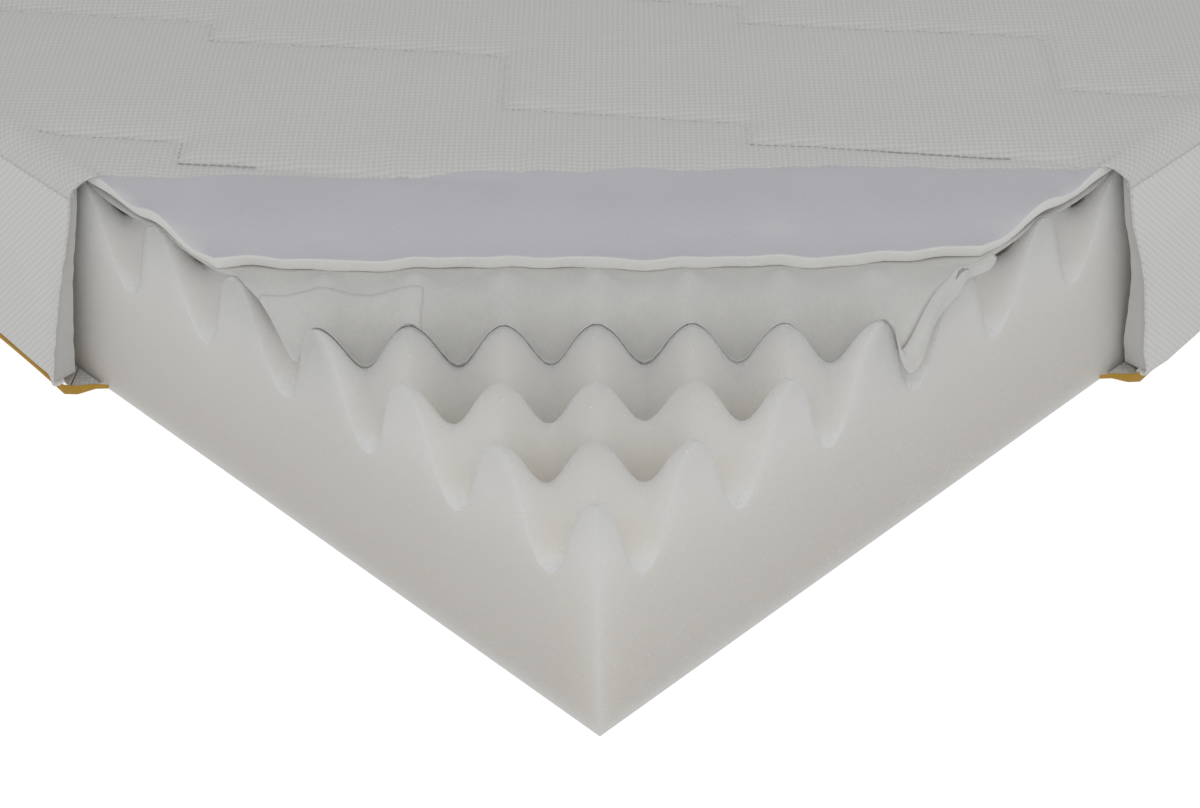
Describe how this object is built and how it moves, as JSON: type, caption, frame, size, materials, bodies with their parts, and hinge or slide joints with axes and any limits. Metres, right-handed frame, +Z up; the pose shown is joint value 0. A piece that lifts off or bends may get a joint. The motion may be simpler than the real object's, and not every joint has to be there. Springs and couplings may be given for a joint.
{
  "type": "foam mattress",
  "caption": "Single foam mattress with a zip-off quilted knit cover, one corner opened to show the wadding, the lining and the convoluted foam core.",
  "frame": {"origin": "centre of the underside, on the surface the mattress lies on", "axes": "+Z up, X across the width, Y along the length; the opened corner is at +X, -Y"},
  "size_m": [0.9, 2, 0.16],
  "materials": {
    "foam": "open-celled polyurethane foam, matt, warm off-white",
    "lining": "thin translucent non-woven",
    "wadding": "soft polyester wadding, bluish white",
    "knit": "quilted double knit with a fine beaded surface, greyish white",
    "zip_tape": "woven zip tape, golden yellow",
    "zip_coil": "nylon coil, golden yellow",
    "zip_metal": "die-cast slider, satin nickel"
  },
  "bodies": {
    "mattress": {"foam_core": "foam", "core_lining": "lining", "top_wadding": "wadding", "top_panel": "knit", "base_panel": "knit", "border_foot": "knit", "border_right": "knit", "border_head": "knit", "border_left": "knit", "border_wadding_foot": "wadding", "border_wadding_right": "wadding", "border_wadding_head": "wadding", "border_wadding_left": "wadding", "zip_tape_upper": "zip_tape", "zip_tape_lower": "zip_tape", "zip_coil_upper": "zip_coil", "zip_coil_lower": "zip_coil"},
    "slider": {"zip_slider": "zip_metal"},
    "pull": {"zip_pull": "zip_metal"}
  },
  "joints": [
    {"name": "zip_travel", "type": "slide", "parent": "mattress", "child": "slider", "axis": [0, 1, 0], "range_m": [0, 1.86]},
    {"name": "pull_swing", "type": "hinge", "parent": "slider", "child": "pull", "pos_m": [-0.4474, -0.93, 0.0076], "axis": [0, 0, 1], "range_deg": [0, 175]}
  ]
}
